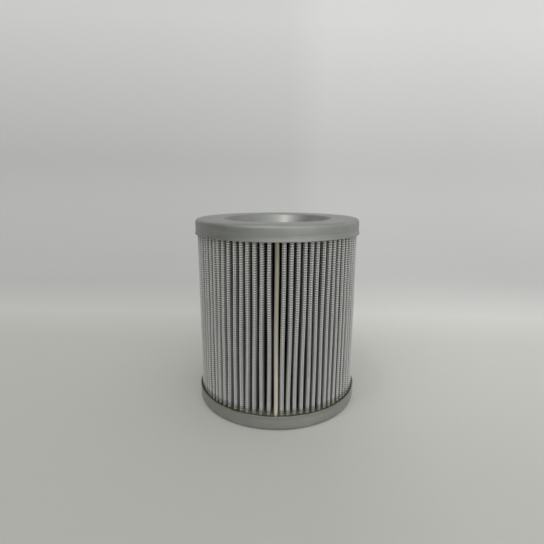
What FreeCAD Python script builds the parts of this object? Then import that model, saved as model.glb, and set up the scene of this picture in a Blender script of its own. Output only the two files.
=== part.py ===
import FreeCAD, Part
import math
import os

import Sketcher

# Return line filter element, in millimetres, standing on its lower end cap.
# The axis is Z, the origin lies on the floor under the centre, and the seam of the pleats faces -Y.

# Driving dimensions, each written once
SIZES = {
    "element_height": 113.8,
    "cap_radius": 50.0,
    "cap_height": 8.8,
    "sheet_thickness": 0.8,
    "skirt_flare": 0.4,
    "flare_height": 1.6,
    "corner_radius": 2.0,
    "recess_depth": 9.0,
    "recess_run": 9.8,
    "recess_lip_radius": 1.6,
    "recess_blend_radius": 3.5,
    "recess_floor_margin": 0.6,
    "seal_bore_radius": 19.0,
    "seal_wall": 2.0,
    "seal_lip_width": 2.4,
    "seal_lip_thickness": 2.1,
    "seal_lead_in": 0.7,
    "adhesive_depth": 4.0,
    "tube_step": 2.6,
    "tube_wall": 0.8,
    "tube_hole_radius": 4.0,
    "tube_holes_round": 6,
    "tube_rows": 4,
    "tube_end_margin": 16.0,
    "pleat_tip_gap": 0.1,
    "pleat_tube_gap": 0.3,
    "pleat_side_gap": 0.13,
    "ply_thickness": 1.15,
    "ply_slit": 0.15,
    "fold_flat": 1.1,
    "seam_extra_angle": 0.4,
    "crimp_thickness": 0.8,
    "crimp_taper": 0.6,
    "crimp_lead": 0.2,
    "clip_thickness": 0.35,
    "clip_grip": 0.45,
    "corner_flat_count": 3,
    "recess_flat_count": 2,
}
SEAM_DIRECTION = -90.0
LEFT, RIGHT = 1, -1


class Size:
    """A number together with its formula in the sheet."""

    def __init__(self, value, formula):
        self.value = value
        self.formula = formula

    def __add__(self, other):
        return Size(self.value + other.value, f"({self.formula} + {other.formula})")

    def __sub__(self, other):
        return Size(self.value - other.value, f"({self.formula} - {other.formula})")

    def __mul__(self, other):
        return Size(self.value * other.value, f"({self.formula} * {other.formula})")

    def __truediv__(self, other):
        return Size(self.value / other.value, f"({self.formula} / {other.formula})")


def plain(number):
    return Size(number, str(number))


def degrees(number):
    return Size(number, f"({number} deg)")


def sine(angle):
    return Size(math.sin(math.radians(angle.value)), f"sin({angle.formula})")


def cosine(angle):
    return Size(math.cos(math.radians(angle.value)), f"cos({angle.formula})")


def slope_of_bends(run, rise, bends):
    """The angle of the straight stretch between two opposite bends whose radii add up to bends."""
    over = rise - bends
    reach = Size(math.hypot(run.value, over.value), f"hypot({run.formula}; {over.formula})")
    return Size(
        math.degrees(math.atan2(over.value, run.value) + math.asin(bends.value / reach.value)),
        f"(atan2({over.formula}; {run.formula}) + asin({bends.formula} / {reach.formula}))")


doc = FreeCAD.newDocument("return_line_filter_element")
sheet = doc.addObject("Spreadsheet::Sheet", "Sizes")
for row, (name, number) in enumerate(SIZES.items(), start=1):
    sheet.set(f"A{row}", name)
    sheet.set(f"B{row}", str(number))
    sheet.setAlias(f"B{row}", name)
doc.recompute()
size = {name: Size(float(sheet.get(name)), f"Sizes.{name}") for name in SIZES}

zero = plain(0)

# Lower end cap: radii of the seal's seat, the recess and the skirt, and heights above the floor
wall = size["sheet_thickness"]
pierced_radius = size["seal_bore_radius"] + size["seal_wall"]
floor_radius = pierced_radius + size["seal_lip_width"] + size["recess_floor_margin"]
floor_inside = size["recess_depth"] + wall
recess_radius = floor_radius + size["recess_run"]
lip = size["recess_lip_radius"]
blend = size["recess_blend_radius"]
slope = slope_of_bends(size["recess_run"], size["recess_depth"], lip + blend)
blend_centre = size["recess_depth"] - blend
skirt_radius = size["cap_radius"] - size["skirt_flare"]
skirt_inside = skirt_radius - wall
flare_start = size["cap_height"] - size["flare_height"]

# Between the caps: the adhesive's face, the tube and the pleats
bed_face = wall + size["adhesive_depth"]
pack_length = size["element_height"] - bed_face * plain(2)
tube_inside = recess_radius - size["tube_step"]
tube_radius = tube_inside + size["tube_wall"]
fold_radius = tube_radius + size["pleat_tube_gap"]
valley_radius = fold_radius + size["ply_thickness"]
clip_inside = size["ply_slit"] / plain(2) + size["crimp_thickness"]
clip_outside = clip_inside + size["clip_thickness"]
pleat_tip = skirt_inside - size["pleat_tip_gap"]
clip_centre = pleat_tip - clip_outside

# The clip's legs cover a share of the pleat's depth
clip_end = clip_centre - (clip_centre - valley_radius) * size["clip_grip"]


def new_body(name):
    body = doc.addObject("PartDesign::Body", name)
    body.Label = name
    return body


def new_sketch(body, name, role):
    """A sketch on one of its own body's origin planes."""
    sketch = body.newObject("Sketcher::SketchObject", name)
    plane = next(item for item in body.Origin.OriginFeatures if item.Role == role)
    sketch.AttachmentSupport = [(plane, "")]
    sketch.MapMode = "FlatFace"
    return sketch


def bind(sketch, kind, places, value):
    """Add one dimension to a sketch and tie it to the sheet."""
    number = sketch.addConstraint(Sketcher.Constraint(kind, *places, value.value))
    sketch.setExpression(f"Constraints[{number}]", value.formula)


def pin(sketch, edge, end, point):
    """Hold the end of an edge at a point. A coordinate of None puts it on that axis."""
    across, up = point
    origin, level_axis, upright_axis = (-1, 1), -1, -2
    for kind, axis, value in (("DistanceX", upright_axis, across), ("DistanceY", level_axis, up)):
        if value is None:
            sketch.addConstraint(Sketcher.Constraint("PointOnObject", edge, end, axis))
        else:
            bind(sketch, kind, (*origin, edge, end), value)


def vector(point):
    across, up = [0.0 if value is None else value.value for value in point]
    return FreeCAD.Vector(across, up, 0)


def add_edge(sketch, here, there, turn=0):
    """Draw a line, or a half circle that turns left or right. Return its number and its two ends."""
    start, stop = vector(here), vector(there)
    if not turn:
        return sketch.addGeometry(Part.LineSegment(start, stop)), 1, 2
    middle = (start + stop) / 2
    first, last = (start, stop) if turn == LEFT else (stop, start)
    begin = math.atan2(first.y - middle.y, first.x - middle.x)
    circle = Part.Circle(middle, FreeCAD.Vector(0, 0, 1), (stop - start).Length / 2)
    edge = sketch.addGeometry(Part.ArcOfCircle(circle, begin, begin + math.pi))
    bind(sketch, "DistanceY", (-1, 1, edge, 3), there[1])
    return (edge, 1, 2) if turn == LEFT else (edge, 2, 1)


def draw_outline(sketch, steps):
    """Draw a closed outline. A step is the corner it leads to: (x, y), or (x, y, turn) for an arc."""
    corners = [step[:2] for step in steps]
    edges = [add_edge(sketch, corners[i - 1], corners[i], *step[2:]) for i, step in enumerate(steps)]
    for i, (edge, first, last) in enumerate(edges):
        after, after_first, after_last = edges[(i + 1) % len(edges)]
        pin(sketch, edge, last, corners[i])
        sketch.addConstraint(Sketcher.Constraint("Coincident", edge, last, after, after_first))


def draw_circle(sketch, radius, centre=(None, None)):
    edge = sketch.addGeometry(Part.Circle(vector(centre), FreeCAD.Vector(0, 0, 1), radius.value))
    pin(sketch, edge, 3, centre)
    bind(sketch, "Radius", (edge,), radius)


def revolve(body, name, steps):
    """Turn an outline, given as radius and height, once round the Z axis."""
    sketch = new_sketch(body, f"{name}_section", "XZ_Plane")
    draw_outline(sketch, steps)
    turned = body.newObject("PartDesign::Revolution", name)
    turned.Profile = sketch
    turned.ReferenceAxis = (sketch, ["V_Axis"])
    turned.Angle = 360.0


def pad(body, name, sketch, length):
    raised = body.newObject("PartDesign::Pad", name)
    raised.Profile = sketch
    raised.setExpression("Length", length.formula)


def turn_over(body):
    """Place a piece that is drawn for the lower end at the upper end."""
    body.Placement.Rotation = FreeCAD.Rotation(FreeCAD.Vector(1, 0, 0), 180)
    body.setExpression(".Placement.Base.z", size["element_height"].formula)


def on_bend(centre, radius, angle):
    """A point on a bend. The angle runs from straight above the centre towards the outside."""
    return centre[0] + radius * sine(angle), centre[1] + radius * cosine(angle)


def inner_points(centre, radius, first, last, flats):
    """The points between the two ends of a bend that is pressed in a few equal flats."""
    step = (last - first) / flats
    return [on_bend(centre, radius, first + step * plain(k)) for k in range(1, round(flats.value))]


def under_lip():
    """Where the bend under the recess lip meets the slope, inside the cap."""
    return on_bend((recess_radius, lip), wall - lip, slope)


def down_slope(point, height):
    """Where the line along the slope through a point reaches a height."""
    return point[0] - (height - point[1]) * cosine(slope) / sine(slope), height


def make_cap(name):
    """A stamped sheet cap with a skirt, a flat rim and a round recess. Its face is on the floor."""
    body = new_body(name)
    corner = size["corner_radius"]
    corner_centre = (skirt_radius - corner, corner)
    lip_place = (recess_radius, lip)
    blend_place = (floor_radius, blend_centre)
    outward, down = degrees(-90), degrees(0)
    revolve(body, f"{name}_stamping", [
        (skirt_radius, flare_start),
        (skirt_radius, corner),
        *inner_points(corner_centre, zero - corner, outward, down, size["corner_flat_count"]),
        (skirt_radius - corner, None),
        (recess_radius, None),
        *inner_points(lip_place, zero - lip, down, slope, size["recess_flat_count"]),
        on_bend(lip_place, zero - lip, slope),
        on_bend(blend_place, blend, slope),
        *inner_points(blend_place, blend, slope, down, size["recess_flat_count"]),
        (floor_radius, size["recess_depth"]),
        (None, size["recess_depth"]),
        (None, floor_inside),
        down_slope(under_lip(), floor_inside),
        under_lip(),
        (recess_radius, wall),
        (skirt_inside, wall),
        (skirt_inside, flare_start),
        (size["cap_radius"] - wall, size["cap_height"]),
        (size["cap_radius"], size["cap_height"]),
    ])
    return body


def pierce(body):
    """Cut the round opening for the seal out of the recess floor."""
    sketch = new_sketch(body, "pierced_circle", "XY_Plane")
    draw_circle(sketch, pierced_radius)
    opening = body.newObject("PartDesign::Pocket", "pierced_opening")
    opening.Profile = sketch
    opening.Type = "ThroughAll"
    opening.Reversed = True


def make_adhesive(name):
    """The cured adhesive in the trough of a cap, which holds the pleats and the tube."""
    body = new_body(name)
    revolve(body, f"{name}_bed", [
        (skirt_inside, wall),
        (skirt_inside, bed_face),
        down_slope(under_lip(), bed_face),
        under_lip(),
        (recess_radius, wall),
    ])
    return body


def make_seal():
    """A rubber grommet with a U section, snapped over the pierced edge of the lower cap."""
    body = new_body("seal_grommet")
    low = size["recess_depth"] - size["seal_lip_thickness"]
    high = floor_inside + size["seal_lip_thickness"]
    rim = pierced_radius + size["seal_lip_width"]
    bore = size["seal_bore_radius"]
    revolve(body, "seal_ring", [
        (bore, low + size["seal_lead_in"]),
        (bore, high),
        (rim, high),
        (rim, floor_inside),
        (pierced_radius, floor_inside),
        (pierced_radius, size["recess_depth"]),
        (rim, size["recess_depth"]),
        (rim, low),
        (bore + size["seal_lead_in"], low),
    ])


def punch_rows(body, name, first_height, row_pitch, rows, turned):
    """Punch every second row of holes round the tube, starting at one height."""
    sketch = new_sketch(body, f"{name}_circle", "XZ_Plane")
    if turned:
        sketch.AttachmentOffset.Rotation = FreeCAD.Rotation(FreeCAD.Vector(0, 1, 0), 1)
        sketch.setExpression(".AttachmentOffset.Rotation.Angle", "180 / Sizes.tube_holes_round")
    draw_circle(sketch, size["tube_hole_radius"], (None, first_height))
    hole = body.newObject("PartDesign::Pocket", name)
    hole.Profile = sketch
    hole.Type = "ThroughAll"
    pattern = body.newObject("PartDesign::MultiTransform", f"{name}_rows")
    pattern.Originals = [hole]
    upward = body.newObject("PartDesign::LinearPattern", f"{name}_upward")
    upward.Direction = (sketch, ["V_Axis"])
    upward.Mode = "Spacing"
    upward.setExpression("Offset", (row_pitch * plain(2)).formula)
    upward.setExpression("Occurrences", rows)
    around = body.newObject("PartDesign::PolarPattern", f"{name}_around")
    around.Axis = (sketch, ["V_Axis"])
    around.Mode = "Extent"
    around.Angle = 360.0
    around.setExpression("Occurrences", "Sizes.tube_holes_round")
    pattern.Transformations = [upward, around]
    body.Tip = pattern


def make_core_tube():
    """The perforated steel tube that the pleats lean on, with staggered rows of holes."""
    body = new_body("core_tube")
    ring = new_sketch(body, "tube_ring", "XY_Plane")
    draw_circle(ring, tube_radius)
    draw_circle(ring, tube_inside)
    pad(body, "tube_blank", ring, pack_length)
    margin = size["tube_end_margin"]
    row_pitch = (pack_length - margin * plain(2)) / (size["tube_rows"] - plain(1))
    punch_rows(body, "odd_rows", margin, row_pitch, "ceil(Sizes.tube_rows / 2)", False)
    punch_rows(body, "even_rows", margin + row_pitch, row_pitch, "floor(Sizes.tube_rows / 2)", True)
    body.setExpression(".Placement.Base.z", bed_face.formula)


def make_seam_clip():
    """A folded steel strip that clamps the two ends of the pleated pack together."""
    body = new_body("seam_clip")
    sketch = new_sketch(body, "clip_section", "XY_Plane")
    draw_outline(sketch, [
        (zero - clip_outside, zero - clip_end),
        (zero - clip_outside, zero - clip_centre),
        (clip_outside, zero - clip_centre, LEFT),
        (clip_outside, zero - clip_end),
        (clip_inside, zero - clip_end),
        (clip_inside, zero - clip_centre),
        (zero - clip_inside, zero - clip_centre, RIGHT),
        (zero - clip_inside, zero - clip_end),
    ])
    pad(body, "clip_strip", sketch, pack_length)
    body.setExpression(".Placement.Base.z", bed_face.formula)


def place(direction, outward, sideways):
    """A point given along and across the middle plane of the pleat that faces this direction."""
    turned = FreeCAD.Rotation(FreeCAD.Vector(0, 0, 1), direction)
    return turned.multVec(FreeCAD.Vector(outward, sideways, 0))


def closed_face(steps):
    """A flat face. A step is the point a line leads to, or the middle and the end of an arc."""
    edges = []
    here = steps[-1][-1]
    for step in steps:
        edge = Part.Arc(here, *step) if len(step) == 2 else Part.LineSegment(here, *step)
        edges.append(edge.toShape())
        here = step[-1]
    return Part.Face(Part.Wire(edges))


def make_pleated_pack():
    """One strip of filter laminate, folded into pleats all the way round from seam to seam."""
    slit = size["ply_slit"].value / 2
    half = slit + size["ply_thickness"].value
    tip = pleat_tip.value
    crest = tip - half
    tube_side = fold_radius.value
    valley = valley_radius.value
    turn = 360.0 - 2 * size["seam_extra_angle"].value
    pleats = int(math.radians(turn) * valley / (2 * half + size["pleat_side_gap"].value))
    pitch = turn / pleats
    directions = [SEAM_DIRECTION + size["seam_extra_angle"].value + k * pitch for k in range(1, pleats)]
    fold = (tube_side - slit) / (1 - math.tan(math.radians(pitch / 2)))
    flat = size["fold_flat"].value / 2

    # A crimped end of the strip, thin enough for the clip's leg to lie flush beside it
    thinned = clip_inside.value
    step_out = clip_end.value - size["crimp_lead"].value
    end_places = [(clip_centre.value, slit), (clip_centre.value, thinned), (step_out, thinned),
                  (step_out - size["crimp_taper"].value, half), (valley, half)]

    # Upstream side, over every crest
    steps = [(place(SEAM_DIRECTION, outward, sideways),) for outward, sideways in end_places]
    for direction in directions:
        steps += [
            (place(direction, valley, -half),),
            (place(direction, crest, -half),),
            (place(direction, tip, 0), place(direction, crest, half)),
            (place(direction, valley, half),),
        ]
    steps += [(place(SEAM_DIRECTION, outward, -sideways),) for outward, sideways in reversed(end_places)]

    # Downstream side, back round every fold, which rests its flat towards the tube
    after = SEAM_DIRECTION + 360.0
    for direction in reversed([SEAM_DIRECTION] + directions):
        between = (after + direction) / 2
        steps += [
            (place(after, fold, -slit),),
            (place(between, tube_side, flat),),
            (place(between, tube_side, -flat),),
            (place(direction, fold, slit),),
        ]
        if direction != SEAM_DIRECTION:
            steps += [(place(direction, crest, slit),), (place(direction, crest, -slit),)]
        after = direction
    pack = doc.addObject("Part::Feature", "pleated_pack")
    pack.Label = "pleated_pack"
    pack.Shape = closed_face(steps).extrude(FreeCAD.Vector(0, 0, pack_length.value))
    pack.Placement.Base.z = bed_face.value


def faults(item):
    """What is wrong with one object of the document, as a list of words."""
    return [word for word in item.State if word in ("Invalid", "Error")]


def main():
    lower_cap = make_cap("bottom_end_cap")
    pierce(lower_cap)
    make_adhesive("bottom_adhesive")
    make_seal()
    make_core_tube()
    make_pleated_pack()
    make_seam_clip()
    turn_over(make_adhesive("top_adhesive"))
    turn_over(make_cap("top_end_cap"))
    doc.recompute()

    pieces = [item for item in doc.Objects if item.TypeId in ("PartDesign::Body", "Part::Feature")]
    failed = [f"{item.Label}: {faults(item)}" for item in doc.Objects if faults(item)]
    failed += [f"{piece.Label}: no valid shape" for piece in pieces
               if piece.Shape.isNull() or not piece.Shape.isValid()]
    if failed:
        raise RuntimeError("; ".join(failed))
    os.makedirs("parts", exist_ok=True)
    for piece in pieces:
        piece.Shape.exportStep(f"parts/{piece.Label}.step")
        print(piece.Label, round(piece.Shape.Volume, 3), "mm3")


main()
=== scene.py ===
import math

import bmesh
import bpy
import numpy as np
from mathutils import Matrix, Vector


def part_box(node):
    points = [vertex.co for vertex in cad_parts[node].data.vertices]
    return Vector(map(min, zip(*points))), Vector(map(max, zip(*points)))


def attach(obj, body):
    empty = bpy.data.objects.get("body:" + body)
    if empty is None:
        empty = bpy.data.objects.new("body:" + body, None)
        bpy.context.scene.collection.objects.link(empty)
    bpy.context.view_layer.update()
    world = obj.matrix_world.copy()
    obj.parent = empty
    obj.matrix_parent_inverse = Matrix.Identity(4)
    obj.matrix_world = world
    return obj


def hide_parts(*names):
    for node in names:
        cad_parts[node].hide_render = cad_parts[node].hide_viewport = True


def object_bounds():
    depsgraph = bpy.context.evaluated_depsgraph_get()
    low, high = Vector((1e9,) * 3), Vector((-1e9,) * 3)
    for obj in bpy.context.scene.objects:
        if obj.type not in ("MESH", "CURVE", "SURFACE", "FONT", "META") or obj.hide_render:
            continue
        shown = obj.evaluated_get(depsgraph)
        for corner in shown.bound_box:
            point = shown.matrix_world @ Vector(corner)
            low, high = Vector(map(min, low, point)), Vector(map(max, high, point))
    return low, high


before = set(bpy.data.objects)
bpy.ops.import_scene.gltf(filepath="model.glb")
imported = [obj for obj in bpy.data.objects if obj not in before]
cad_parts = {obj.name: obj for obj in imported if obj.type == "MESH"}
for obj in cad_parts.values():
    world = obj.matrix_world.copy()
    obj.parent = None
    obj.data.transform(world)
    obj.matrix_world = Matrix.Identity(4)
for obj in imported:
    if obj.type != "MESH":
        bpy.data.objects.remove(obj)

# A pleated filter element. Metres, with +Z up and the seam clip of the pleats facing -Y.

CAD_LOW, CAD_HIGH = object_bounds()
MM = 0.001
SEED = 81

# Points nearer to each other than this are one point
MERGED = 0.0001 * MM

# Places that the frame gives
pack_low, pack_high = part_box("pleated_pack")
clip_low, clip_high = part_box("seam_clip")
seal_low, seal_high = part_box("seal_grommet")
HEIGHT = CAD_HIGH.z
CAP_RADIUS = CAD_HIGH.x
PACK_BOTTOM, PACK_TOP = pack_low.z, pack_high.z
PACK_LENGTH = PACK_TOP - PACK_BOTTOM
PACK_TIP = pack_high.x

# The stamped end caps
SHEET = 0.8 * MM
FLARE = 0.4 * MM
FLARE_HEIGHT = 1.6 * MM
SKIRT_HEIGHT = 8.8 * MM
CORNER = 2.0 * MM
RECESS_DEPTH = 9.0 * MM
RECESS_RADIUS = 33.8 * MM
FLOOR_RADIUS = 24.0 * MM
LIP = 1.6 * MM
BLEND = 3.5 * MM
RECESS_RUN = RECESS_RADIUS - FLOOR_RADIUS
BENDS = LIP + BLEND
SLOPE = (math.atan2(RECESS_DEPTH - BENDS, RECESS_RUN)
         + math.asin(BENDS / math.hypot(RECESS_RUN, RECESS_DEPTH - BENDS)))
PIERCED_RADIUS = 21.0 * MM
SKIRT_RADIUS = CAP_RADIUS - FLARE
EDGE_ROUND = 0.2 * MM
DRAWN_LINE = 3.1 * MM
LINE_WIDTH = 0.16 * MM
LINE_DEPTH = 0.05 * MM
DENT = 0.06 * MM
EDGE_WAVE = 0.07 * MM
CAP_TURNS = 240
SEAL_BORE = 19.0 * MM
SEAL_TURNS = 160

# The adhesive in the lower cap, which climbs between the feet of the pleats
FILL_AT_SKIRT = SKIRT_HEIGHT - 2.8 * MM
FILL_AT_PLEATS = SKIRT_HEIGHT - 2.6 * MM
BEAD_HEIGHT = 11.9 * MM
BEAD_DEPTH = 4.2 * MM
BEAD_FOOT = SKIRT_HEIGHT - 0.5 * MM
BEAD_RISE = BEAD_HEIGHT - SKIRT_HEIGHT
BEAD_CLEAR = 0.12 * MM
BEAD_CURVE = 1.6
BEAD_POINTS = 8
BEAD_WAVE = 0.28
BEAD_RIPPLE = 0.2
BED_TURNS = 720

# The pleats
PLEATS = 81
SEAM_EXTRA = math.radians(0.4)
PITCH = (2 * math.pi - 2 * SEAM_EXTRA) / PLEATS
PLY = 1.15 * MM
SLIT = 0.075 * MM
PLEAT_HALF = PLY + SLIT
CREST = PACK_TIP - PLEAT_HALF
TUBE_SIDE = 32.3 * MM
VALLEY = TUBE_SIDE + PLY
FOLD = 33.53 * MM
FOLD_FLAT = 0.55 * MM
PACK_LEVELS = 26
CRIMPED = 0.875 * MM
CRIMP_STEP = 0.2 * MM
CRIMP_TAPER = 0.6 * MM
BOW = 0.9 * MM
BOW_DEPTH = 1.8 * MM

# Edges that turn by more than this stay sharp
SHARP = math.radians(50)

# Depths of a pleat's points below its crest, in millimetres: on the bare flank, and under the wires
FLANK_DEPTHS = (8, 5)
WOVEN_DEPTHS = (3.7, 2.5, 1.6, 0.8, 0.0)
CREST_POINTS = 9

# Where the pleats crowd or keep to the seam, and how far the crests stand aside, in degrees
FRONT_WIDTH = math.radians(75.0)
SEAM_PLACE = math.radians(-3.5)
SEAM_WIDTH = math.radians(4.5)
CROWD_PLACE = math.radians(-37.0)
CROWD_WIDTH = math.radians(13.0)
FRONT_DRIFT = -0.85
CROWD_DRIFT = -1.2
BACK_DRIFT = 0.8
OWN_DRIFT = 0.25
LEAN = 1.4
LEAN_CHANGE = 0.7
SWAY = 0.14
SWAY_TURNS = 1.3

# The woven wire mesh that faces the pleats
WIRE_PITCH = 1.27 * MM
WARP_RADIUS = 0.13 * MM
WEFT_RADIUS = 0.22 * MM
WARP_SINK = 0.08 * MM
WIRE_CRIMP = 0.07 * MM
MESH_THICKNESS = 0.42 * MM
WIRE_SIDES = 3
WIRE_LIFT = 0.3
WIRE_SKEW = 0.03
MOST_WIRES = 5
WOVEN_DEPTH = 2.0 * MM
SECTORS = 5
FLEECE_HALF = PLEAT_HALF - MESH_THICKNESS

# The seam clip
CLIP_HALF = clip_high.x
CLIP_SHEET = 0.35 * MM
CLIP_CENTRE = -clip_low.y - CLIP_HALF
CLIP_END = -clip_high.y
CLIP_LEVELS = 44
LEG_POINTS = 4
NOSE_POINTS = 13
CREASE_POINTS = {-0.12, -0.06, 0.06, 0.12}
CREASE_START = 0.80
CREASE_RUN = 0.08
CREASE_DEPTH = 0.16
CREASE_WIDTH = 0.07
ROOF_SHARE = 0.75
ROOF_CURVE = 1.3

# The camera
LENS = 26.576
SENSOR = 36.0
CAMERA_PLACE = (0.0, -248.65 * MM, 132.85 * MM)
CAMERA_PITCH = math.radians(12.12)
CAMERA_TURN = math.radians(0.72)

# The studio: a paper floor that bends up into a wall
FLOOR_FRONT = 1.7
WALL_PLACE = 0.48
WALL_BEND = 0.18
WALL_POINTS = 17
WALL_RISE = 1.0
FLOOR_HALF = 1.4

# Painted light on the paper: its greys from the front to the top, with a painted bright band where it bends
# and a painted brighter top of the wall, each with its place and its share of blue, and then painted light
# from side to side
PAPER_TURN = 0.04
PAPER_SPAN = 1.2
PAPER_AHEAD = 0.25
PAINTED_LIGHT_GREYS = [(-0.25, 0.61, 0.935), (0.08, 0.63, 0.945), (0.16, 0.70, 0.97), (0.23, 0.64, 0.985),
               (0.32, 0.60, 1.0), (0.40, 0.58, 1.0), (0.50, 0.60, 1.0), (0.64, 0.66, 1.005),
               (0.76, 0.78, 1.01), (0.88, 0.91, 1.01)]
PAINTED_SIDE_LIGHT = [(-0.2, 0.985), (0.02, 1.01), (0.08, 1.09), (0.16, 1.085), (0.3, 1.06)]
PAPER_GREEN = 1.003
SIDES_HALF = 0.5
SIDES_ROOM = 1.2

# A painted pool of light on the floor at the right: its middle, its reach, and its greys from there outwards
LIGHT_POOL_PLACE = (0.22, 0.13)
LIGHT_POOL_REACH = 0.32
LIGHT_POOL_REST = 0.90
LIGHT_POOL_GREYS = [(0.0, 1.0), (0.3, 0.98), (0.75, LIGHT_POOL_REST + 0.015), (1.0, LIGHT_POOL_REST)]

# The light of the room, as soft patches: name, direction, narrowness, strength
ROOM_PATCHES = [
    ("front_right", (0.54, -0.84, 0.1), 7.0, 1.2),
    ("right", (1.0, 0.0, 0.25), 4.0, 0.1),
    ("up", (0.0, 0.1, 1.0), 4.0, 0.32),
    ("up_right", (0.72, -0.15, 0.70), 4.0, 0.4),
    ("up_front", (-0.24, -0.64, 0.75), 4.0, 1.12),
]
ROOM_COLOUR = (1.0, 1.0, 0.985)

# Lamps: name, place, what it faces, diameter, power, and a colour where it isn't white
LAMPS = [
    ("ceiling_lamp", (-0.25, -0.285, 1.25), (0.0, 0.0, 0.06), 0.12, 0.5, (1.0, 1.0, 0.88)),
    ("right_window", (1.1, 0.1, 0.5), (0.2, 0.15, 0.0), 0.9, 0.75),
]


# Meshes

def quad_mesh(name, points, quads):
    """A smooth mesh made from arrays of points and of four-cornered faces."""
    mesh = bpy.data.meshes.new(name)
    mesh.vertices.add(len(points))
    mesh.vertices.foreach_set("co", points.astype(np.float32).ravel())
    mesh.loops.add(quads.size)
    mesh.loops.foreach_set("vertex_index", quads.astype(np.int32).ravel())
    mesh.polygons.add(len(quads))
    mesh.polygons.foreach_set("loop_start", np.arange(0, quads.size, 4, dtype=np.int32))
    mesh.polygons.foreach_set("use_smooth", np.full(len(quads), True))
    mesh.update(calc_edges=True)
    mesh.validate()
    piece = bpy.data.objects.new(name, mesh)
    bpy.context.scene.collection.objects.link(piece)
    return piece


def grid_quads(rows, columns, close_rows=False, close_columns=False):
    """Faces of a grid of points numbered row by row."""
    row = np.arange(rows if close_rows else rows - 1)[:, None]
    column = np.arange(columns if close_columns else columns - 1)[None, :]
    next_row = (row + 1) % rows
    next_column = (column + 1) % columns
    corners = [row * columns + column, row * columns + next_column,
               next_row * columns + next_column, next_row * columns + column]
    return np.stack(corners, axis=-1).reshape(-1, 4)


def bend(centre, radius, first, last, count):
    """Points on an arc. An angle of 0 is straight down, and angles grow outwards."""
    angles = np.linspace(first, last, count)
    return [(centre[0] + radius * math.sin(a), centre[1] - radius * math.cos(a)) for a in angles]


def lathe(name, outline, turns, shape=None):
    """Turn a closed outline of radius and height round Z. shape may move the points."""
    outline = np.array(outline)
    around = np.linspace(0, 2 * math.pi, turns, endpoint=False)[:, None] + np.zeros(len(outline))
    radius = outline[:, 0] + np.zeros((turns, 1))
    height = outline[:, 1] + np.zeros((turns, 1))
    if shape:
        radius, height = shape(radius, height, around)
    points = np.stack([radius * np.sin(around), -radius * np.cos(around), height], axis=-1)
    quads = grid_quads(turns, len(outline), close_rows=True, close_columns=True)[:, ::-1]
    piece = quad_mesh(name, points.reshape(-1, 3), quads)
    if outline[:, 0].min() < MERGED:
        merge_points(piece)
    return piece


def merge_points(piece):
    """Make one point of those that lie together, as on the axis of a turned form."""
    form = bmesh.new()
    form.from_mesh(piece.data)
    bmesh.ops.remove_doubles(form, verts=form.verts, dist=MERGED)
    on_axis = [face for face in form.faces if face.calc_area() < MERGED ** 2]
    bmesh.ops.delete(form, geom=on_axis, context="FACES")
    form.to_mesh(piece.data)
    form.free()


# Materials

def math_node(tree, operation, first, second=0.0):
    """The result of a Math node. Each value is a number or the socket of another node."""
    node = tree.nodes.new("ShaderNodeMath")
    node.operation = operation
    for socket, value in zip(node.inputs, (first, second)):
        if isinstance(value, (int, float)):
            socket.default_value = value
        else:
            tree.links.new(value, socket)
    return node.outputs[0]


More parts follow.
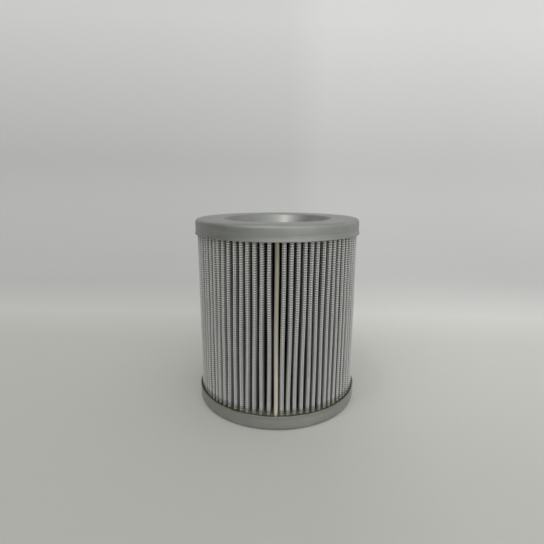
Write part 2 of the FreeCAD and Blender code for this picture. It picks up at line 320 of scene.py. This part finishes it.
class Paint:
    """A node material and the few kinds of node that it is made of."""

    def __init__(self, name, roughness, metallic=0.0):
        self.material = bpy.data.materials.new(name)
        self.material.use_nodes = True
        self.tree = self.material.node_tree
        self.shader = self.tree.nodes["Principled BSDF"]
        self.shader.inputs["Metallic"].default_value = metallic
        self.shader.inputs["Roughness"].default_value = roughness
        self.place = self.tree.nodes.new("ShaderNodeTexCoord").outputs["Object"]

    def link(self, source, target):
        self.tree.links.new(source, target)

    def math(self, operation, first, second=0.0):
        return math_node(self.tree, operation, first, second)

    def axes(self):
        """The place on the surface as its x, y and z."""
        split = self.tree.nodes.new("ShaderNodeSeparateXYZ")
        self.link(self.place, split.inputs[0])
        return split.outputs

    def hypot(self, first, second):
        """How long two parts at right angles are together. For x and y, the distance from the axis."""
        squares = [self.math("MULTIPLY", part, part) for part in (first, second)]
        return self.math("SQRT", self.math("ADD", *squares))

    def drawn_place(self, across, along):
        """A place for marks that run round the axis: quick across them and slow along them."""
        x, y, z = self.axes()
        join = self.tree.nodes.new("ShaderNodeCombineXYZ")
        self.link(self.math("MULTIPLY", self.math("ADD", self.hypot(x, y), z), across), join.inputs[0])
        self.link(self.math("MULTIPLY", x, along), join.inputs[1])
        self.link(self.math("MULTIPLY", y, along), join.inputs[2])
        return join.outputs[0]

    def noise(self, scale, detail=3.0, rough=0.55, place=None):
        node = self.tree.nodes.new("ShaderNodeTexNoise")
        node.inputs["Scale"].default_value = scale
        node.inputs["Detail"].default_value = detail
        node.inputs["Roughness"].default_value = rough
        self.link(place or self.place, node.inputs["Vector"])
        return node.outputs["Fac"]

    def ramp(self, value, *stops):
        """A colour or grey that follows a value. A stop is a position and a colour."""
        node = self.tree.nodes.new("ShaderNodeValToRGB")
        elements = node.color_ramp.elements
        while len(elements) < len(stops):
            elements.new(1.0)
        for element, (position, colour) in zip(elements, stops):
            element.position = position
            element.color = (*colour, 1.0) if isinstance(colour, tuple) else (colour, colour, colour, 1.0)
        self.link(value, node.inputs["Fac"])
        return node.outputs["Color"]

    def ramp_mm(self, length, reach, *stops):
        """A ramp along a length of the object. Its reach and the places of its stops are in millimetres."""
        share = self.math("MULTIPLY", length, 1 / (reach * MM))
        return self.ramp(share, *[(place / reach, colour) for place, colour in stops])

    def clouds(self, scale, dark, pale, detail=4.0):
        """A colour that drifts between a dark and a pale one."""
        return self.ramp(self.noise(scale, detail), (0.3, dark), (0.7, pale))

    def mix(self, factor, first, second, blend="MIX"):
        """Two colours mixed. Inputs 0, 6 and 7 are the factor and the colours, and output 2 is the mix."""
        node = self.tree.nodes.new("ShaderNodeMix")
        node.data_type = "RGBA"
        node.blend_type = blend
        for index, value in ((0, factor), (6, first), (7, second)):
            socket = node.inputs[index]
            if isinstance(value, (int, float)):
                socket.default_value = value
            elif isinstance(value, tuple):
                socket.default_value = (*value, 1.0)
            else:
                self.link(value, socket)
        return node.outputs[2]

    def multiply(self, first, second):
        return self.mix(1.0, first, second, "MULTIPLY")

    def colour(self, source):
        self.link(source, self.shader.inputs["Base Color"])

    def roughness(self, source):
        self.link(source, self.shader.inputs["Roughness"])

    def bump(self, height, distance, strength=1.0):
        node = self.tree.nodes.new("ShaderNodeBump")
        node.inputs["Strength"].default_value = strength
        node.inputs["Distance"].default_value = distance
        self.link(height, node.inputs["Height"])
        self.link(node.outputs["Normal"], self.shader.inputs["Normal"])

    def on(self, *pieces):
        for piece in pieces:
            piece.data.materials.clear()
            piece.data.materials.append(self.material)
        return self


def cap_metal(stained):
    """Zinc-coated sheet with drawing marks and painted shade at the sides of the recess, and for the lower
    cap the adhesive's stain at its edge.
    """
    paint = Paint("stained_zinc_sheet" if stained else "zinc_sheet", roughness=0.42, metallic=0.9)
    x, y, z = paint.axes()
    marks = paint.noise(1.0, detail=4.0, rough=0.65, place=paint.drawn_place(across=2600.0, along=60.0))
    grain = paint.noise(2600.0, detail=2.0)
    base = paint.clouds(55.0, (0.36, 0.37, 0.36), (0.415, 0.425, 0.41))
    base = paint.mix(0.35, base, paint.ramp(marks, (0.3, 0.36), (0.7, 0.62)), "OVERLAY")
    if stained:
        edge = paint.math("ADD", z, paint.math("MULTIPLY", paint.noise(160.0), 3.4 * MM))
        stain = paint.ramp_mm(edge, 20.0, (9.8, 0.0), (11.2, 1.0))
        base = paint.mix(stain, base, (0.25, 0.245, 0.14))
    # the recess is painted darker towards its left and right sides as painted shade, and it is smoother than
    # the rim and the skirt outside it
    recess_side_shade = paint.ramp_mm(paint.math("ABSOLUTE", x), 50.0, (21.0, 0.97), (28.0, 0.64))
    outside = paint.ramp_mm(paint.hypot(x, y), 50.0, (32.25, 0.0), (33.25, 1.0))
    paint.colour(paint.multiply(base, paint.mix(outside, recess_side_shade, (1.0, 1.0, 1.0))))
    worn = paint.ramp(marks, (0.25, 0.46), (0.75, 0.60))
    paint.roughness(paint.mix(outside, (0.33, 0.33, 0.33), worn))
    paint.bump(paint.mix(0.4, marks, grain), distance=0.03 * MM, strength=0.6)
    return paint


def painted_pleat_shade(paint):
    """Painted shade: a grey that is 1 at the crests, falls to black between the pleats and darkens at their
    feet.
    """
    x, y, z = paint.axes()
    depth = paint.ramp_mm(paint.hypot(x, y), 50.0,
                          (44.0, 0.01), (45.5, 0.06), (46.75, 0.26), (47.75, 0.72), (48.4, 1.0))
    feet = paint.ramp_mm(z, 50.0, (11.25, 0.6), (11.8, 0.82), (12.6, 1.0))
    return paint.multiply(depth, feet)


def fleece():
    """The pale fleece and glass fibre that shows between the wires."""
    paint = Paint("fleece", roughness=0.95)
    paint.shader.inputs["Specular IOR Level"].default_value = 0.15
    pale = paint.clouds(900.0, (0.29, 0.29, 0.281), (0.39, 0.39, 0.377))
    # the fleece's colour carries the painted shade between the pleats and at their feet
    paint.colour(paint.multiply(pale, painted_pleat_shade(paint)))
    paint.bump(paint.noise(5200.0), distance=0.05 * MM, strength=0.8)
    return paint


def wire():
    """Drawn wire of the woven mesh."""
    paint = Paint("mesh_wire", roughness=0.45, metallic=0.12)
    bright = paint.clouds(120.0, (0.88, 0.885, 0.875), (0.97, 0.975, 0.965))
    # the wires' colour carries the painted shade between the pleats and at their feet
    paint.colour(paint.multiply(bright, painted_pleat_shade(paint)))
    return paint


def clip_metal():
    """Bright strip with a warm tint and fine marks along its length, with painted shade that darkens it
    towards its top.
    """
    paint = Paint("clip_strip", roughness=0.34, metallic=0.7)
    strip = paint.clouds(70.0, (0.78, 0.75, 0.66), (0.90, 0.87, 0.77))
    # painted shade: the strip is painted darker towards its top
    clip_top_shade = paint.ramp_mm(paint.axes()[2], 125.0, (10.0, (1.0, 1.0, 1.0)),
                         (68.75, (0.62, 0.61, 0.58)), (106.25, (0.52, 0.51, 0.47)))
    paint.colour(paint.multiply(strip, clip_top_shade))
    paint.bump(paint.noise(1800.0), distance=0.02 * MM, strength=0.5)
    return paint


def adhesive():
    """Cured olive-brown resin."""
    paint = Paint("cured_adhesive", roughness=0.32)
    paint.colour(paint.clouds(260.0, (0.035, 0.034, 0.013), (0.085, 0.084, 0.034)))
    paint.bump(paint.noise(500.0), distance=0.1 * MM, strength=0.6)
    return paint


def rubber():
    """Black rubber with a fine grain."""
    paint = Paint("seal_rubber", roughness=0.55)
    paint.colour(paint.clouds(400.0, 0.014, 0.03, detail=3.0))
    paint.bump(paint.noise(2500.0), distance=0.02 * MM, strength=0.6)
    return paint


def tube_metal():
    """Plain steel sheet with marks that run round the tube."""
    paint = Paint("tube_sheet", roughness=0.4, metallic=0.9)
    paint.colour(paint.clouds(90.0, 0.42, 0.52))
    marks = paint.noise(1.0, detail=3.0, rough=0.6, place=paint.drawn_place(across=1500.0, along=80.0))
    paint.bump(marks, distance=0.02 * MM, strength=0.5)
    return paint


# End caps

def cap_outline(inner_radius):
    """The section of a cap that lies face down, from its axis or its pierced edge and back."""
    floor_inside = RECESS_DEPTH + SHEET
    round_centre = SKIRT_HEIGHT - EDGE_ROUND
    return [
        (inner_radius, RECESS_DEPTH),
        *bend((FLOOR_RADIUS, RECESS_DEPTH - BLEND), BLEND, math.pi, math.pi - SLOPE, 7),
        *bend((RECESS_RADIUS, LIP), LIP, -SLOPE, 0.0, 9),
        ((RECESS_RADIUS + SKIRT_RADIUS) / 2, 0.0),
        *bend((SKIRT_RADIUS - CORNER, CORNER), CORNER, 0.0, math.pi / 2, 9),
        *[(SKIRT_RADIUS, SKIRT_HEIGHT - DRAWN_LINE + step * LINE_WIDTH) for step in (-2, -1, 0, 1, 2)],
        (SKIRT_RADIUS + 0.06 * FLARE, SKIRT_HEIGHT - 1.2 * FLARE_HEIGHT),
        (SKIRT_RADIUS + 0.35 * FLARE, SKIRT_HEIGHT - 0.8 * FLARE_HEIGHT),
        (SKIRT_RADIUS + 0.8 * FLARE, SKIRT_HEIGHT - 0.4 * FLARE_HEIGHT),
        *bend((CAP_RADIUS - EDGE_ROUND, round_centre), EDGE_ROUND, math.pi / 2, math.pi, 4),
        *bend((CAP_RADIUS - SHEET + EDGE_ROUND, round_centre), EDGE_ROUND, math.pi, 1.5 * math.pi, 4),
        (SKIRT_RADIUS - SHEET + 0.35 * FLARE, SKIRT_HEIGHT - 0.8 * FLARE_HEIGHT),
        (SKIRT_RADIUS - SHEET, SKIRT_HEIGHT - 1.2 * FLARE_HEIGHT),
        (SKIRT_RADIUS - SHEET, CORNER),
        (SKIRT_RADIUS - SHEET, SHEET),
        *bend((RECESS_RADIUS, LIP), LIP - SHEET, 0.0, -SLOPE, 5),
        *bend((FLOOR_RADIUS, RECESS_DEPTH - BLEND), BLEND + SHEET, math.pi - SLOPE, math.pi, 5),
        (inner_radius, floor_inside),
    ]


def turned_over(shape):
    """Stand the section of the lower end at the upper end."""
    def place(radius, height, around):
        radius, height = shape(radius, height, around)
        return radius, HEIGHT - height
    return place


def uneven_sheet(seed):
    """Small dents of the skirt, largest at its free edge, the faint drawn line, and an uneven free edge."""
    def place(radius, height, around):
        skirt = np.clip((radius - SKIRT_RADIUS + 2 * SHEET) / SHEET, 0, 1)
        edge = skirt * (height / SKIRT_HEIGHT) ** 2
        inward = DENT * edge * (1 + waves(around, seed, (4, 9, 17, 33)))
        line = np.exp(-((height - SKIRT_HEIGHT + DRAWN_LINE) / LINE_WIDTH) ** 2)
        inward = inward + LINE_DEPTH * skirt * line * (1 + np.sin(around - 0.4))
        low = EDGE_WAVE * edge * (1 + waves(around, seed + 1, (5, 12, 29)))
        return radius - inward, height - low
    return place


def make_caps():
    lower = lathe("lower_cap_sheet", cap_outline(PIERCED_RADIUS), CAP_TURNS, uneven_sheet(SEED + 20))
    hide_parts("bottom_end_cap")
    upper = lathe("upper_cap_sheet", cap_outline(0.0), CAP_TURNS, turned_over(uneven_sheet(SEED + 30)))
    upper.data.flip_normals()
    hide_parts("top_end_cap")
    for piece in (lower, upper):
        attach(piece, "root")
    cap_metal(True).on(lower)
    cap_metal(False).on(upper)


def make_seal():
    """The rubber ring with its rounded lips, which grips the pierced edge of the lower cap."""
    rim, bore = seal_high.x, SEAL_BORE
    low, high = seal_low.z, seal_high.z
    soft = 0.6 * MM
    lead = 0.7 * MM
    outline = [
        (bore, low + lead + soft),
        *bend((bore + soft, high - soft), soft, 1.5 * math.pi, math.pi, 4),
        *bend((rim - soft, high - soft), soft, math.pi, math.pi / 2, 5),
        (rim, RECESS_DEPTH + SHEET),
        (PIERCED_RADIUS, RECESS_DEPTH + SHEET),
        (PIERCED_RADIUS, RECESS_DEPTH),
        (rim, RECESS_DEPTH),
        *bend((rim - soft, low + soft), soft, math.pi / 2, 0.0, 5),
        *bend((bore + lead, low + lead), lead, 0.0, -math.pi / 2, 5),
    ]
    ring = lathe("seal_ring", outline, SEAL_TURNS)
    ring.data.flip_normals()
    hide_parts("seal_grommet")
    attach(ring, "root")
    rubber().on(ring)


def make_adhesive():
    """The bed in the lower cap, with the bead that climbs between the feet of the pleats."""
    inside = SKIRT_RADIUS - SHEET
    face = PACK_BOTTOM
    tan_slope = math.tan(SLOPE)
    lip_end = (RECESS_RADIUS - (LIP - SHEET) * math.sin(SLOPE), LIP - (LIP - SHEET) * math.cos(SLOPE))
    reach = PACK_TIP - BEAD_DEPTH
    climb = [(inside, FILL_AT_SKIRT), (PACK_TIP, FILL_AT_PLEATS)]
    for k in range(BEAD_POINTS):
        share = k / (BEAD_POINTS - 1)
        climb.append((PACK_TIP - BEAD_CLEAR - BEAD_DEPTH * share ** BEAD_CURVE,
                      BEAD_FOOT + BEAD_RISE * share))
    outline = [
        (inside, SHEET),
        (inside, SKIRT_HEIGHT / 2),
        *climb,
        (reach - 1.0 * MM, BEAD_HEIGHT - 0.8 * MM),
        (reach - 1.5 * MM, face),
        (lip_end[0] - (face - lip_end[1]) / tan_slope, face),
        lip_end,
        (RECESS_RADIUS, SHEET),
    ]

    def uneven(radius, height, around):
        climbing = np.clip((height - BEAD_FOOT) / BEAD_RISE, 0, 1)
        rise = (BEAD_WAVE * waves(around, SEED + 40, (9, 14, 22, 45))
                + BEAD_RIPPLE * waves(around, SEED + 41, (70, 81, 97)))
        return radius, height + climbing * BEAD_RISE * rise

    bed = lathe("lower_adhesive", outline, BED_TURNS, uneven)
    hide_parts("bottom_adhesive")
    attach(bed, "root")
    adhesive().on(bed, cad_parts["top_adhesive"])


# The pleated pack

def waves(angle, seed, counts):
    """A smooth random value round the axis, of about 1 at most."""
    draw = np.random.default_rng(seed)
    total = np.zeros_like(angle)
    for count in counts:
        size, start = draw.uniform(0.5, 1.0), draw.uniform(0, 2 * math.pi)
        total = total + size * np.sin(count * angle + start)
    return total / (0.8 * len(counts))


def from_seam(angle):
    """An angle round the axis, counted from the seam to half a turn on either side."""
    return (angle + math.pi) % (2 * math.pi) - math.pi


def front_share(turned):
    """1 on the side of the seam and 0 behind."""
    return np.exp(-(turned / FRONT_WIDTH) ** 4)


def crest_drift(angle, height):
    """How far a crest stands aside of its even place, as a length. height runs from 0 to 1."""
    turned = from_seam(angle)
    at_seam = np.exp(-((turned - SEAM_PLACE) / SEAM_WIDTH) ** 2)
    front = front_share(turned)
    crowded = np.exp(-((turned - CROWD_PLACE) / CROWD_WIDTH) ** 2)
    even = front * (FRONT_DRIFT + CROWD_DRIFT * crowded)
    wild = (1 - front) * BACK_DRIFT * waves(turned, SEED + 1, (3, 5, 8))
    own = OWN_DRIFT * waves(turned, SEED + 2, (23, 31, 37))
    lean = LEAN + LEAN_CHANGE * waves(turned, SEED + 3, (7, 11, 16))
    sway = SWAY * np.sin(2 * math.pi * (SWAY_TURNS * height + waves(turned, SEED + 4, (13, 19))))
    aside = (even + wild + own) * (1 - at_seam) + lean * (height - 0.5) * (1 - 0.5 * at_seam) + sway
    return np.radians(aside) * CREST


def drift_share(outward):
    """How much of the drift a point takes: none at the valley, all of it at the crest."""
    return np.clip((outward - VALLEY) / (CREST - VALLEY), 0, 1.1) ** 1.5


def pleat_bow(angle, outward):
    """How far the pleats bow towards the seam below their crests, so that the crests lean away from it."""
    turned = from_seam(angle)
    depth = np.clip(CREST - outward, 0, None)
    below_crest = 1 - np.exp(-(depth / BOW_DEPTH) ** 2)
    above_valley = np.clip((outward - VALLEY) / (0.5 * (CREST - VALLEY)), 0, 1)
    hump = below_crest * above_valley
    return -BOW * np.tanh(turned / PITCH) * front_share(turned) * hump


def stand(angle, outward, sideways, aside):
    """Points in the plane from places along and across the pleats that face the angles."""
    across = sideways + aside * drift_share(outward) + pleat_bow(angle, outward)
    return (outward * np.sin(angle) + across * np.cos(angle),
            -outward * np.cos(angle) + across * np.sin(angle))


def mirrored(rows):
    """The same rows on the other side of the pleat's middle plane, in reverse order."""
    return [((a[0], -a[1]), (b[0], -b[1]), -turn) for a, b, turn in reversed(rows)]


def flank_row(depth, half):
    """A row of the left flank, at a depth below the crest in millimetres."""
    place = CREST - depth * MM
    return (place, -half), (place, -SLIT), 0.0


def pleat_section():
    """One pleat as rows: an upstream place, a downstream place, and by how many pitches that is turned."""
    left = [((VALLEY, -PLEAT_HALF), (TUBE_SIDE, FOLD_FLAT), -0.5)]
    left += [flank_row(depth, PLEAT_HALF) for depth in FLANK_DEPTHS]
    left += [flank_row(depth, FLEECE_HALF) for depth in WOVEN_DEPTHS]
    over = []
    for angle in np.linspace(-math.pi / 2, math.pi / 2, CREST_POINTS)[1:-1]:
        over.append(((CREST + FLEECE_HALF * math.cos(angle), FLEECE_HALF * math.sin(angle)),
                     (CREST, SLIT * math.sin(angle)), 0.0))
    return left + over + mirrored(left)


def crimped_end(side):
    """One end of the strip, thinned under the clip's leg. side is 1 for the end on the right."""
    step = CLIP_END - CRIMP_STEP
    rows = [
        ((CREST, CRIMPED), (CREST, SLIT), 0.0),
        ((step, CRIMPED), (step, SLIT), 0.0),
        ((step - CRIMP_TAPER, PLEAT_HALF), (FOLD, SLIT), 0.0),
        ((VALLEY, PLEAT_HALF), (TUBE_SIDE, -FOLD_FLAT), 0.5),
    ]
    return rows if side > 0 else mirrored(rows)


def pleat_angles():
    return [SEAM_EXTRA + k * PITCH for k in range(1, PLEATS)]


def standing(share, angle, loop, source):
    """A loop of places along and across the pleats, as points at a share of the pack's height."""
    x, y = stand(angle, loop[:, 0], loop[:, 1], crest_drift(source, share))
    return np.stack([x, y, np.full_like(x, PACK_BOTTOM + share * PACK_LENGTH)], axis=-1)


def closed_strip(name, levels):
    """A strip from one loop of points at each height. The loop runs along one side and back on the other."""
    loop = len(levels[0])
    walls = grid_quads(len(levels), loop, close_columns=True)
    near = np.arange(loop // 2 - 1)
    ends = np.stack([near, loop - 1 - near, loop - 2 - near, near + 1], axis=-1)
    top = ends[:, ::-1] + (len(levels) - 1) * loop
    strip = quad_mesh(name, np.concatenate(levels), np.concatenate([walls, ends, top]))
    strip.data.set_sharp_from_angle(angle=SHARP)
    return strip


def make_pack_sheet():
    """The folded strip itself, one closed sheet from seam to seam."""
    rows = [(0.0, *row) for row in crimped_end(1)]
    for angle in pleat_angles():
        rows += [(angle, *row) for row in pleat_section()]
    rows += [(0.0, *row) for row in crimped_end(-1)]
    angle = np.array([row[0] for row in rows])
    upstream = np.array([row[1] for row in rows])
    downstream = np.array([row[2] for row in rows])
    inner_angle = angle + np.array([row[3] for row in rows]) * PITCH
    # the loop runs along the upstream side and back along the downstream side
    angle_loop = np.concatenate([angle, inner_angle[::-1]])
    source_loop = np.concatenate([angle, angle[::-1]])
    place_loop = np.concatenate([upstream, downstream[::-1]])
    levels = [standing(share, angle_loop, place_loop, source_loop)
              for share in np.linspace(0, 1, PACK_LEVELS)]
    sheet = closed_strip("pleat_strip", levels)
    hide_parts("pleated_pack")
    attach(sheet, "root")
    fleece().on(sheet)


def over_crest(along, radius):
    """Where a length along the cloth, counted from the crest's middle, lies on a pleat."""
    quarter = radius * math.pi / 2
    turn = np.clip(along, -quarter, quarter) / radius
    down = np.clip(np.abs(along) - quarter, 0, None)
    return CREST + radius * np.cos(turn) - down, radius * np.sin(turn), np.cos(turn), np.sin(turn)


def alternating(numbers):
    """1 for the even numbers and -1 for the odd ones, as a woven wire goes over and under."""
    return np.where(numbers % 2 == 0, 1.0, -1.0)


def tubes(centres, first, second, radius):
    """Thin tubes along rows of points. first and second are the two directions across them."""
    lines, points = centres.shape[:2]
    rings = []
    for k in range(WIRE_SIDES):
        angle = 2 * math.pi * k / WIRE_SIDES
        rings.append(centres + radius * (math.cos(angle) * first + math.sin(angle) * second))
    places = np.stack(rings, axis=2).reshape(-1, 3)
    one = grid_quads(points, WIRE_SIDES, close_columns=True)
    quads = one[None] + (np.arange(lines) * points * WIRE_SIDES)[:, None, None]
    return places, quads.reshape(-1, 4)


def pleat_wires(number, angle):
    """The wires of one pleat: those along it, and those that go over its crest."""
    draw = np.random.default_rng(SEED * 1000 + number)
    radius = FLEECE_HALF + MESH_THICKNESS / 2
    reach = radius * math.pi / 2 + WOVEN_DEPTH
    phase = draw.uniform(-0.5, 0.5)
    lengths = [(k + phase) * WIRE_PITCH for k in range(-MOST_WIRES, MOST_WIRES + 1)
               if abs(k + phase) * WIRE_PITCH < reach]
    first_wire = round(lengths[0] / WIRE_PITCH - phase)
    rows = int(PACK_LENGTH / WIRE_PITCH)
    lift = draw.uniform(-WIRE_LIFT, WIRE_LIFT) * WIRE_PITCH
    skew = draw.uniform(-WIRE_SKEW, WIRE_SKEW)
    heights = PACK_BOTTOM + lift + (np.arange(rows) + 0.5) * WIRE_PITCH
    up = np.array([0.0, 0.0, 1.0])

    def at(along, off, height):
        """World points and outward directions for places on the cloth."""
        outward, sideways, normal_out, normal_side = over_crest(along, radius)
        share = np.clip((height - PACK_BOTTOM) / PACK_LENGTH, 0, 1)
        aside = crest_drift(np.full_like(height, angle), share)
        x, y = stand(angle, outward + off * normal_out, sideways + off * normal_side, aside)
        normal_x = normal_out * math.sin(angle) + normal_side * math.cos(angle)
        normal_y = -normal_out * math.cos(angle) + normal_side * math.sin(angle)
        tall = np.clip(height + skew * along, PACK_BOTTOM, PACK_TOP)
        return (np.stack([x, y, tall], axis=-1),
                np.stack([normal_x, normal_y, np.zeros_like(x)], axis=-1))

    # wires over the crest, with a point at each crossing and one between
    half_steps = np.arange(2 * len(lengths) - 1)
    along = lengths[0] + half_steps * WIRE_PITCH / 2
    crossing = np.where(half_steps % 2 == 0, 1.0, 0.0)
    sign = alternating(half_steps // 2 + first_wire)
    along = np.concatenate([[-reach], along, [reach]])
    swing = np.concatenate([[0.0], crossing * sign, [0.0]]) * WIRE_CRIMP
    parity = alternating(np.arange(rows))
    grid_along = along[None, :] + np.zeros((rows, 1))
    grid_off = swing[None, :] * parity[:, None]
    grid_height = heights[:, None] + np.zeros_like(grid_along)
    centres, normals = at(grid_along, grid_off, grid_height)
    across = tubes(centres, normals, -up + np.zeros_like(centres), WEFT_RADIUS)

    # wires along the pleat
    ends = np.array([PACK_BOTTOM, PACK_TOP])
    tall = np.concatenate([ends[:1], heights, ends[1:]])
    wire_sign = alternating(first_wire + np.arange(len(lengths)))
    swing = np.concatenate([[0.0], -parity, [0.0]]) * WIRE_CRIMP
    grid_along = np.array(lengths)[:, None] + np.zeros((1, len(tall)))
    grid_off = wire_sign[:, None] * swing[None, :] - WARP_SINK
    grid_height = tall[None, :] + np.zeros_like(grid_along)
    centres, normals = at(grid_along, grid_off, grid_height)
    sideways = np.cross(up, normals)
    upright = tubes(centres, normals, sideways, WARP_RADIUS)
    return [across, upright]


def make_wires():
    """The woven mesh over the crests, as real wires, in a few sectors round the pack."""
    paint = wire()
    angles = pleat_angles()
    per_sector = math.ceil(len(angles) / SECTORS)
    for sector in range(SECTORS):
        points, quads, offset = [], [], 0
        for number in range(sector * per_sector, min((sector + 1) * per_sector, len(angles))):
            for places, faces in pleat_wires(number, angles[number]):
                points.append(places)
                quads.append(faces + offset)
                offset += len(places)
        mesh = quad_mesh(f"woven_wires_{sector + 1}", np.concatenate(points), np.concatenate(quads))
        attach(mesh, "root")
        paint.on(mesh)


def clip_nose(spread, share):
    """How far the clip's nose stands out at places across it, as a share. It is creased at the top."""
    creased = min(1.0, max(0.0, (share - CREASE_START) / CREASE_RUN))
    aside = np.abs(spread)
    round_nose = np.sqrt(np.clip(1 - spread ** 2, 0, 1))
    roof = np.clip(1.0 - 0.75 * aside ** ROOF_CURVE, 0, 1) * np.minimum(1, 4 * (1 - aside)) ** 0.5
    crease = CREASE_DEPTH * np.exp(-(spread / CREASE_WIDTH) ** 2)
    return round_nose + creased * (ROOF_SHARE * (roof - round_nose) - crease)


def make_clip():
    """The folded strip over the seam."""
    spread = {round(math.sin(a), 4) for a in np.linspace(-math.pi / 2, math.pi / 2, NOSE_POINTS)}
    spread = np.array(sorted(spread | CREASE_POINTS))
    legs = np.linspace(CLIP_END, CLIP_CENTRE, LEG_POINTS)[:-1]
    inner_half = CLIP_HALF - CLIP_SHEET
    levels = []
    for share in np.linspace(0, 1, CLIP_LEVELS):
        nose = clip_nose(spread, share)
        outer = [(u, -CLIP_HALF) for u in legs]
        outer += [(CLIP_CENTRE + CLIP_HALF * n, CLIP_HALF * s) for n, s in zip(nose, spread)]
        outer += [(u, CLIP_HALF) for u in legs[::-1]]
        inner = [(u, inner_half) for u in legs]
        inner += [(CLIP_CENTRE + (CLIP_HALF * n - CLIP_SHEET * (0.3 + 0.7 * n)), inner_half * s)
                  for n, s in zip(nose[::-1], spread[::-1])]
        inner += [(u, -inner_half) for u in legs[::-1]]
        loop = np.array(outer + inner)
        levels.append(standing(share, 0.0, loop, np.zeros(len(loop))))
    strip = closed_strip("seam_strip", levels)
    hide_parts("seam_clip")
    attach(strip, "root")
    clip_metal().on(strip)


# Studio

def studio_paper():
    """Pale paper with painted light: its grey follows its length, from the floor in front to the top of the
    wall, with painted light from side to side and a painted pool of light at the right.
    """
    paint = Paint("studio_paper", roughness=0.7)
    x, y, z = paint.axes()
    length = paint.math("ADD", y, z)
    turned = paint.math("ADD", length, paint.math("MULTIPLY", x, PAPER_TURN))
    share = paint.math("ADD", paint.math("DIVIDE", turned, PAPER_SPAN), PAPER_AHEAD)
    # painted light along the paper: a bright band at the bend and a brighter top of the wall
    stops = [(place / PAPER_SPAN + PAPER_AHEAD, (grey, grey * PAPER_GREEN, grey * blue))
             for place, grey, blue in PAINTED_LIGHT_GREYS]
    # painted light from side to side, paler to the right
    side_stops = [(place + SIDES_HALF, grey / SIDES_ROOM) for place, grey in PAINTED_SIDE_LIGHT]
    side_light = paint.ramp(paint.math("ADD", x, SIDES_HALF), *side_stops)
    # a painted pool of light on the floor at the right
    aside = paint.math("SUBTRACT", x, LIGHT_POOL_PLACE[0])
    beyond = paint.math("SUBTRACT", length, LIGHT_POOL_PLACE[1])
    painted_pool = paint.ramp(paint.math("DIVIDE", paint.hypot(aside, beyond), LIGHT_POOL_REACH), *LIGHT_POOL_GREYS)
    # a ramp holds 1 at most, so what the ramps were divided by is multiplied back here
    plain = paint.multiply(paint.ramp(share, *stops), side_light)
    brighter = paint.multiply(plain, (SIDES_ROOM / LIGHT_POOL_REST,) * 3)
    paint.colour(paint.multiply(brighter, painted_pool))
    return paint


def make_studio():
    """A pale floor that bends up into a wall behind the object."""
    section = [(-FLOOR_FRONT, 0.0)]
    section += [(WALL_PLACE - WALL_BEND * (1 - math.sin(a)), WALL_BEND * (1 - math.cos(a)))
                for a in np.linspace(0, math.pi / 2, WALL_POINTS)]
    section.append((WALL_PLACE, WALL_RISE))
    points = np.array([(x, y, z) for y, z in section for x in (-FLOOR_HALF, FLOOR_HALF)])
    stage = quad_mesh("studio_floor", points, grid_quads(len(section), 2))
    studio_paper().on(stage)


def area_light(name, place, target, size, power, colour=(1.0, 1.0, 1.0)):
    """A round lamp that faces a point."""
    data = bpy.data.lights.new(name, "AREA")
    data.shape = "DISK"
    data.size = size
    data.energy = power
    data.color = colour
    lamp = bpy.data.objects.new(name, data)
    lamp.location = place
    lamp.rotation_mode = "QUATERNION"
    lamp.rotation_quaternion = (Vector(target) - Vector(place)).to_track_quat("-Z", "Y")
    bpy.context.scene.collection.objects.link(lamp)


def make_lights():
    """The lamps, and a world of soft patches of light."""
    for lamp in LAMPS:
        area_light(*lamp)
    world = bpy.data.worlds.new("studio")
    world.use_nodes = True
    tree = world.node_tree
    direction = tree.nodes.new("ShaderNodeTexCoord").outputs["Generated"]
    total = 0.0
    for name, middle, narrowness, strength in ROOM_PATCHES:
        facing = tree.nodes.new("ShaderNodeVectorMath")
        facing.name = name
        facing.operation = "DOT_PRODUCT"
        facing.inputs[1].default_value = Vector(middle).normalized()
        tree.links.new(direction, facing.inputs[0])
        above = math_node(tree, "MAXIMUM", facing.outputs["Value"], 0.0)
        patch = math_node(tree, "MULTIPLY", math_node(tree, "POWER", above, narrowness), strength)
        total = math_node(tree, "ADD", patch, total)
    background = tree.nodes["Background"]
    tree.links.new(total, background.inputs["Strength"])
    background.inputs["Color"].default_value = (*ROOM_COLOUR, 1.0)
    bpy.context.scene.world = world


def make_camera():
    data = bpy.data.cameras.new("camera")
    data.lens = LENS
    data.sensor_width = SENSOR
    data.clip_start = 0.01
    data.clip_end = 20.0
    camera = bpy.data.objects.new("camera", data)
    camera.location = CAMERA_PLACE
    camera.rotation_euler = (math.pi / 2 - CAMERA_PITCH, 0.0, CAMERA_TURN)
    bpy.context.scene.collection.objects.link(camera)
    bpy.context.scene.camera = camera


make_camera()
make_caps()
make_seal()
make_adhesive()
make_pack_sheet()
make_wires()
make_clip()
tube_metal().on(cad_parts["core_tube"])
make_studio()
make_lights()
bpy.context.scene.view_settings.view_transform = "Standard"
